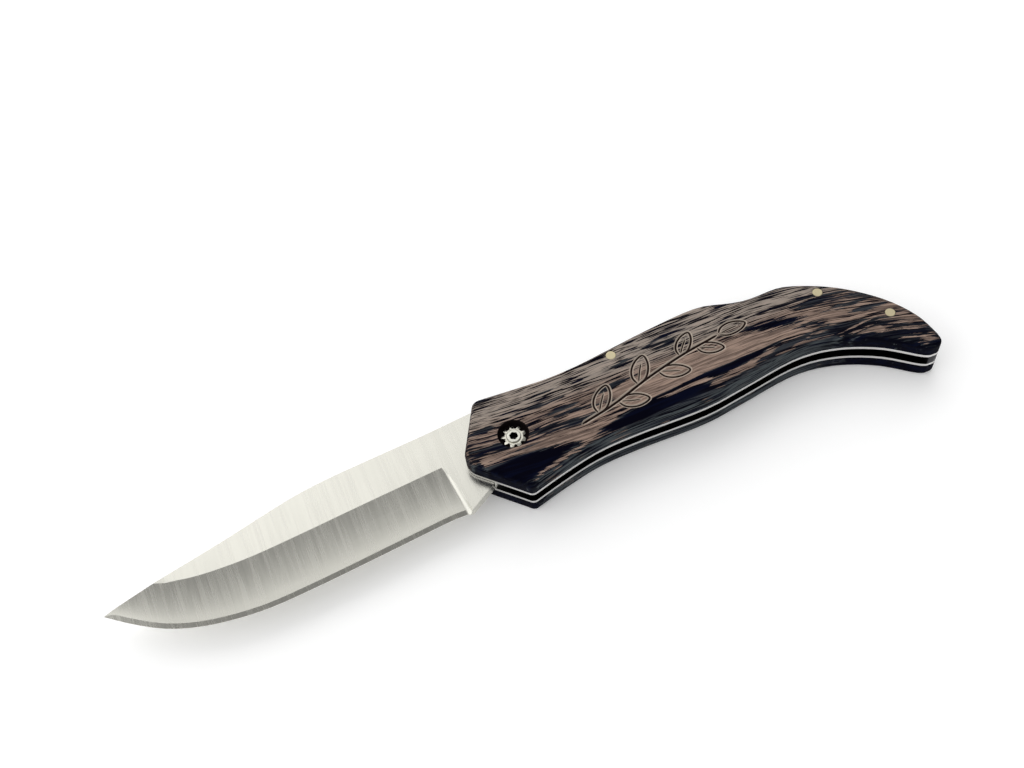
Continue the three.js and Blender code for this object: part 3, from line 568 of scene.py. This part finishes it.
# Carving: a sprig of leaves, in mm on the upper face from the pivot's axis

STEM = ((15.5, -4.6), (25.0, -2.7), (35.0, 0.4), (46.0, 3.0), (56.5, 4.6))
# Share of the stem where each leaf leaves it, side it is on, angle to the stem, length, half width
LEAVES = (
    (0.12, 1, 48, 8.2, 1.9),
    (0.26, -1, 40, 7.6, 1.8),
    (0.42, 1, 46, 8.6, 2.0),
    (0.56, -1, 42, 7.8, 1.8),
    (0.72, 1, 42, 7.4, 1.7),
    (0.84, -1, 40, 6.8, 1.6),
    (1.00, 1, 0, 7.6, 1.7),
)
# Outline of a leaf from its foot round its tip: shares of its length and of half its width
LEAF = (
    (0, 0), (0.22, 0.78), (0.5, 1), (0.8, 0.72), (1, 0),
    (0.8, -0.72), (0.5, -1), (0.22, -0.78), (0, 0),
)
VEIN = (0.05, 0.4, 0.78)  # shares of a leaf's length
LEAF_SWEEP = 0.09  # how far a leaf's tip bends along the stem, share of its length
STEM_WIDTH = 1.35
STEM_DEPTH = 0.55
LEAF_WIDTH = 1.1
LEAF_DEPTH = 0.42
VEIN_WIDTH = 0.8
VEIN_DEPTH = 0.3
GOUGE_RUN = 1.4  # length in which a stroke reaches its full depth
GOUGE_STEP = 0.4
GOUGE_END = 0.35  # share of a stroke's width that its ends keep
GOUGE_RISE = 0.05  # how far its ends lie over the face
# Section of a stroke: across as a share of its half width, down as a share of its depth
GOUGE = ((-0.46, 0.28), (-0.34, 0.8), (0, 1), (0.34, 0.8), (0.46, 0.28))
GOUGE_TOP = (1.4, 0.12)  # across as a share of the half width, and height over the face
CARVED_DEPTH = (0.004, 0.7)  # depths between which a face of the carved mesh belongs to a groove

WELD = 1e-6  # in metres
COPLANAR = math.radians(0.05)
RIM_SHARP = math.radians(32)


def added(shape, name):
    """A new object made of a bmesh shape, which is freed."""
    mesh = bpy.data.meshes.new(name)
    shape.to_mesh(mesh)
    shape.free()
    piece = bpy.data.objects.new(name, mesh)
    bpy.context.scene.collection.objects.link(piece)
    return piece


def spread(points):
    """Points about a gouge's step apart on a smooth line through the given ones."""
    line = []
    padded = [2 * points[0] - points[1], *points, 2 * points[-1] - points[-2]]
    for before, start, end, after in zip(padded, padded[1:], padded[2:], padded[3:]):
        steps = max(2, round((end - start).length / GOUGE_STEP))
        for step in range(steps):
            t = step / steps
            line.append(0.5 * (
                2 * start + t * (end - before) + t * t * (2 * before - 5 * start + 4 * end - after)
                + t ** 3 * (3 * start - before - 3 * end + after)))
    return [*line, points[-1]]


def place_along(line, share):
    """Place and direction at a share of a line's points."""
    spot = round(share * (len(line) - 1))
    start = min(spot, len(line) - 2)
    return line[spot], (line[start + 1] - line[start]).normalized()


def leaf_strokes(foot, stem_direction, side, angle, length, half_width):
    """The outline and the vein of a leaf, each with its width and depth."""
    way = stem_direction.copy()
    way.rotate(Matrix.Rotation(math.radians(side * angle), 2))
    aside = Vector((-way.y, way.x))

    def on_leaf(run, across):
        sweep = -side * LEAF_SWEEP * length * run * run
        return foot + run * length * way + (across * half_width + sweep) * aside

    outline = spread([on_leaf(*point) for point in LEAF])
    vein = spread([on_leaf(run, 0) for run in VEIN])
    return [(outline, LEAF_WIDTH, LEAF_DEPTH), (vein, VEIN_WIDTH, VEIN_DEPTH)]


def sprig_strokes():
    """The lines of the sprig, each with its width and depth."""
    stem = spread([Vector(point) for point in STEM])
    strokes = [(stem, STEM_WIDTH, STEM_DEPTH)]
    for share, *leaf in LEAVES:
        strokes += leaf_strokes(*place_along(stem, share), *leaf)
    return strokes


def gouge_section(full, width, depth):
    """Section of a stroke, across and over the face, where it has a share of its full depth."""
    half = width / 2 * (GOUGE_END + (1 - GOUGE_END) * full)
    top_across, top_height = GOUGE_TOP
    return [
        (-top_across * half, top_height),
        *((across * half, GOUGE_RISE * (1 - full) - down * depth * full) for across, down in GOUGE),
        (top_across * half, top_height),
    ]


def gouge_cutter(line, width, depth):
    """A closed body that cuts one stroke, shallow and narrow at both ends."""
    shape = bmesh.new()
    travelled = [0.0]
    for a, b in zip(line, line[1:]):
        travelled.append(travelled[-1] + (b - a).length)
    rings = []
    for index, (spot, run) in enumerate(zip(line, travelled)):
        ahead = line[min(index + 1, len(line) - 1)] - line[max(index - 1, 0)]
        aside = Vector((-ahead.y, ahead.x)).normalized()
        share = min(1.0, run / GOUGE_RUN, (travelled[-1] - run) / GOUGE_RUN)
        ring = []
        for across, height in gouge_section(math.sin(share * math.pi / 2), width, depth):
            place = spot + across * aside
            corner = PIVOT + Vector((place.x, place.y, HALF_KNIFE + height)) * MM
            ring.append(shape.verts.new(corner))
        rings.append(ring)
    for a, b in zip(rings, rings[1:]):
        for index in range(len(a)):
            after = (index + 1) % len(a)
            shape.faces.new((a[index], a[after], b[after], b[index]))
    shape.faces.new(rings[0])
    shape.faces.new(rings[-1])
    bmesh.ops.recalc_face_normals(shape, faces=shape.faces)
    return added(shape, "gouge")


def copied(node, name):
    """A new object with a welded copy of a CAD node's mesh."""
    shape = bmesh.new()
    shape.from_mesh(nodes[node].data)
    bmesh.ops.remove_doubles(shape, verts=shape.verts, dist=WELD)
    return added(shape, name)


def cut_out(piece, cutters):
    """Cuts each cutter's body out of a piece's mesh, and removes the cutters."""
    for cutter in cutters:
        cut = piece.modifiers.new("cut", "BOOLEAN")
        cut.operation = "DIFFERENCE"
        cut.solver = "MANIFOLD"
        cut.object = cutter
    evaluated = piece.evaluated_get(bpy.context.evaluated_depsgraph_get())
    mesh = bpy.data.meshes.new_from_object(evaluated)
    piece.modifiers.clear()
    piece.data = mesh
    for cutter in cutters:
        bpy.data.objects.remove(cutter)


def point_finder(points):
    """Finder of the nearest of the given places on the face."""
    finder = KDTree(len(points))
    for index, point in enumerate(points):
        finder.insert((point.x, point.y, 0), index)
    finder.balance()
    return finder


def in_groove(face, finder):
    """Whether a face lies under the uncut surface and near a stroke."""
    spot = (face.calc_center_median() - PIVOT) / MM
    shallow, deep = CARVED_DEPTH
    if not shallow < HALF_KNIFE - spot.z < deep:
        return False
    _, _, distance = finder.find((spot.x, spot.y, 0))
    return distance < STEM_WIDTH / 2


def carved_scale(plain, carved):
    """The upper scale with the sprig cut into its face."""
    piece = copied("upper_scale", "carved_scale")
    strokes = sprig_strokes()
    cut_out(piece, [gouge_cutter(*stroke) for stroke in strokes])
    finder = point_finder([point for line, _, _ in strokes for point in line])
    mesh = piece.data
    mesh.materials.clear()
    mesh.materials.append(plain)
    mesh.materials.append(carved)
    shape = bmesh.new()
    shape.from_mesh(mesh)
    bmesh.ops.dissolve_limit(shape, angle_limit=COPLANAR, verts=shape.verts, edges=shape.edges)
    for face in shape.faces:
        face.smooth = True
        face.material_index = int(in_groove(face, finder))
    shape.to_mesh(mesh)
    shape.free()
    mesh.set_sharp_from_angle(angle=RIM_SHARP)
    piece.modifiers.new("level", "WEIGHTED_NORMAL").keep_sharp = True
    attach(piece, "handle")
    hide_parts("upper_scale")


# Leaf spring


def leaf_spring(material):
    """A welded copy of the CAD spring, which runs from its seat in the spacer to its contact under
    the lock bar.
    """
    piece = copied("lock_spring", "leaf_spring")
    piece.data.materials.append(material)
    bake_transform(piece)
    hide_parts("lock_spring")


# Metals

INNER_SHADE = (0.03, 0.03, 0.032)  # painted shade on the faces that lie flat between two layers
SOCKET_SHADE = (0.01, 0.01, 0.012)  # painted shade inside a screw's head
SOCKET_RADIUS = 1.13
SOCKET_SOFTNESS = 0.02
SOCKET_TOP = 4.95  # height of the screws' heads from the blade's middle, less a hair
SOCKET_FALL = 0.15  # depth in which the painted shade comes in
# Each metal: name, colour, roughness, scale of its streaks for each mm along x, y and z, the rest
METALS = {
    "blade": (
        "blade_steel", (0.71, 0.70, 0.635), 0.25, (1.9, 0.05, 0.6),
        {"streak": 0.1, "relief": 3e-7}),
    "lock": ("lock_steel", (0.5, 0.5, 0.49), 0.34, (0.08, 3.0, 3.0), {"inner": INNER_SHADE}),
    "spacer": ("spacer_steel", (0.03, 0.03, 0.034), 0.45, (0.1, 0.1, 3.0), {}),
    "spring": ("spring_steel", (0.25, 0.25, 0.26), 0.42, (0.08, 3.0, 3.0), {}),
    "liner": ("liner_steel", (0.66, 0.65, 0.64), 0.32, (0.1, 0.1, 4.0), {"inner": INNER_SHADE}),
    "brass": ("brass", (0.66, 0.58, 0.38), 0.36, (4.0, 1.0, 1.0), {}),
    "bronze": ("bronze", (0.3, 0.19, 0.1), 0.38, (0.3, 3.0, 3.0), {}),
    "washer": ("washer_steel", (0.7, 0.68, 0.59), 0.26, (1.5, 1.5, 1.5), {}),
    "screw": ("screw_steel", (0.72, 0.71, 0.63), 0.28, (1.5, 1.5, 1.5), {"socket": SOCKET_SHADE}),
}
# Noises of the metals: detail and roughness of the fine and the broad streaks, and whole clouds
FINE = (4.0, 0.6)
BROAD = (3.0, 0.55)
BROAD_SHARE = 0.3  # scale of the broad streaks against that of the fine ones
CLOUDS = ((0.07, 0.09, 0.09), 3.0, 0.5)
CLOUD_REACH = 0.1
STREAK_RANGE = (0.7, 1.3)  # of the sum of both streaks, in which the roughness changes
ROUGHNESS_SHARES = (0.85, 1.2)  # shares of it between which it changes
INNER_FACING = (0.75, 0.95)  # Z that the flat inner faces with the painted shade look to, either way
METAL_BUMP = 0.6


def brushed(name, colour, roughness, stretch, streak=0.25, relief=1.5e-6, inner=None, socket=None):
    """Brushed metal. The streak is how far its streaks change its level, and relief their height
    in metres. Inner is a painted shade on its flat inner faces, and socket one inside a screw's
    head."""
    def build(tree):
        place = knife_place(tree)
        lines = noise(tree, place, stretch, *FINE)
        broad = noise(tree, place, tuple(BROAD_SHARE * part for part in stretch), *BROAD)
        both = maths(tree, "ADD", lines, broad)
        shade = maths(tree, "MULTIPLY_ADD", maths(tree, "SUBTRACT", both, 1.0), streak, 1.0)
        shade = maths(tree, "ADD", shade, around(tree, noise(tree, place, *CLOUDS), CLOUD_REACH))
        tint = vectors(tree, "SCALE", colour, None, None, shade)
        # the flat inner faces between layers take a painted shade
        if inner:
            level = maths(tree, "ABSOLUTE", facing(tree)["Z"])
            tint = tinted(tree, ranged(tree, level, *INNER_FACING), tint, inner)
        # inside a screw's head, a painted shade near black
        if socket:
            spot = split(tree, place)
            out = vectors(tree, "LENGTH", flat(tree, spot["X"], spot["Y"]))
            near = ranged(tree, out, SOCKET_RADIUS, SOCKET_RADIUS - SOCKET_SOFTNESS)
            height = maths(tree, "ABSOLUTE", spot["Z"])
            low = ranged(tree, height, SOCKET_TOP, SOCKET_TOP - SOCKET_FALL)
            tint = tinted(tree, maths(tree, "MULTIPLY", near, low), tint, socket)
        smoothest, roughest = (roughness * share for share in ROUGHNESS_SHARES)
        return {
            "Base Color": tint,
            "Roughness": ranged(tree, both, *STREAK_RANGE, smoothest, roughest),
            "Normal": bump(tree, lines, relief, METAL_BUMP),
        }
    return shaded(name, build, Metallic=1.0)


def add_materials():
    finishes = {use: brushed(*metal, **rest) for use, (*metal, rest) in METALS.items()}
    group = figure_group()
    finishes["upper wood"] = wood("wood", group)
    finishes["carved wood"] = wood("carved_wood", group, carved=True)
    finishes["lower wood"] = wood("lower_wood", group, LOWER_SHIFT, LOWER_DARKER)
    return finishes


# Shading and broken edges of the CAD nodes

SQUARE_EDGES = (math.radians(60), math.radians(115))  # turns between which an edge is about square
SPINE_START = (14.0, 30.0)  # mm from the blade's tip in which its square edges come to be broken
BEVEL_LIMIT = math.radians(30)  # turn from which an edge of the other nodes is broken
BEVEL_STEPS = 2
ANGLE_INPUT = "Socket_1"  # the smoothing group's angle, its second input
BLADE_SHARP = 6  # turn in degrees up to which the blade is shaded smooth
BLADE_BROKEN = 0.16  # width of its broken edges in mm
# The other nodes: name, finish, the same turn and the same width
DRESSES = (
    ("lock_bar", "lock", 20, 0.08),
    ("back_spacer", "spacer", 20, 0.05),
    ("upper_liner", "liner", 30, 0.04),
    ("lower_liner", "liner", 30, 0.04),
    ("lower_scale", "lower wood", 32, 0),
    ("lock_bar_pin", "brass", 40, 0.12),
    ("spacer_pin_front", "brass", 40, 0.12),
    ("spacer_pin_rear", "brass", 40, 0.12),
    ("pivot_barrel", "screw", 40, 0.08),
    ("upper_tang_washer", "bronze", 40, 0),
    ("lower_tang_washer", "bronze", 40, 0),
    ("upper_star_washer", "washer", 40, 0.05),
    ("lower_star_washer", "washer", 40, 0.05),
    ("upper_pivot_screw", "screw", 40, 0.06),
    ("lower_pivot_screw", "screw", 40, 0.06),
)


def mesh_group(name, *numbers):
    """Geometry node group that takes a mesh and the named numbers, and gives a mesh."""
    group = bpy.data.node_groups.new(name, "GeometryNodeTree")
    face = group.interface
    face.new_socket("Geometry", in_out="INPUT", socket_type="NodeSocketGeometry")
    for number in numbers:
        face.new_socket(number, in_out="INPUT", socket_type="NodeSocketFloat")
    face.new_socket("Geometry", in_out="OUTPUT", socket_type="NodeSocketGeometry")
    return group


def smoothing_group():
    """Shades a mesh smooth but for the edges that turn by more than an angle."""
    group = mesh_group("smooth_by_angle", "Angle")
    given = group.nodes.new("NodeGroupInput").outputs
    turn = put(group, "GeometryNodeInputMeshEdgeAngle").outputs["Unsigned Angle"]
    slight = put(group, "FunctionNodeCompare", turn, given["Angle"], operation="LESS_THAN")
    plain = put(group, "GeometryNodeRemoveAttribute", given["Geometry"], "custom_normal")
    smooth = put(group, "GeometryNodeSetShadeSmooth", plain.outputs[0], None, True)
    kept = put(
        group, "GeometryNodeSetShadeSmooth", smooth.outputs[0], None, slight.outputs[0],
        domain="EDGE")
    put(group, "NodeGroupOutput", kept.outputs[0])
    return group


def square_edges_group():
    """Marks for a bevel the blade's edges that turn about square, ever less towards its tip."""
    group = mesh_group("square_edges")
    given = group.nodes.new("NodeGroupInput").outputs
    turn = put(group, "GeometryNodeInputMeshEdgeAngle").outputs["Unsigned Angle"]
    least, most = SQUARE_EDGES
    square = maths(
        group, "MULTIPLY",
        maths(group, "GREATER_THAN", turn, least), maths(group, "LESS_THAN", turn, most))
    place = split(group, put(group, "GeometryNodeInputPosition").outputs[0])
    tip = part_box("blade")[0].x
    near, far = (tip + start * MM for start in SPINE_START)
    weight = maths(group, "MULTIPLY", square, ranged(group, place["X"], near, far))
    store = group.nodes.new("GeometryNodeStoreNamedAttribute")
    store.data_type = "FLOAT"
    store.domain = "EDGE"
    store.inputs["Name"].default_value = "bevel_weight_edge"
    group.links.new(given["Geometry"], store.inputs["Geometry"])
    group.links.new(weight, store.inputs["Value"])
    put(group, "NodeGroupOutput", store.outputs[0])
    return group


def dress(node, material, smoothing, sharp, broken, marking=None):
    """Gives a CAD node its material, even shading up to a sharp angle, and edges broken by a width
    in mm: all the sharp ones, or those that a marking group picks."""
    piece = nodes[node]
    piece.data.materials.clear()
    piece.data.materials.append(material)
    piece.modifiers.new("weld", "WELD").merge_threshold = WELD
    flat_faces = piece.modifiers.new("flat", "DECIMATE")
    flat_faces.decimate_type = "DISSOLVE"
    flat_faces.angle_limit = COPLANAR
    if marking:
        piece.modifiers.new("marks", "NODES").node_group = marking
    if broken:
        edge = piece.modifiers.new("edge", "BEVEL")
        edge.width = broken * MM
        edge.segments = BEVEL_STEPS
        edge.limit_method = "WEIGHT" if marking else "ANGLE"
        edge.angle_limit = BEVEL_LIMIT
    smooth = piece.modifiers.new("smooth", "NODES")
    smooth.node_group = smoothing
    smooth[ANGLE_INPUT] = math.radians(sharp)
    piece.modifiers.new("level", "WEIGHTED_NORMAL").keep_sharp = True


add_camera()
add_world()
add_lamp()
add_floor()
finishes = add_materials()
smoothing = smoothing_group()

dress("blade", finishes["blade"], smoothing, BLADE_SHARP, BLADE_BROKEN, square_edges_group())
for node, finish, sharp, broken in DRESSES:
    dress(node, finishes[finish], smoothing, sharp, broken)

carved_scale(finishes["upper wood"], finishes["carved wood"])
leaf_spring(finishes["spring"])

bpy.context.scene.view_settings.view_transform = "Standard"
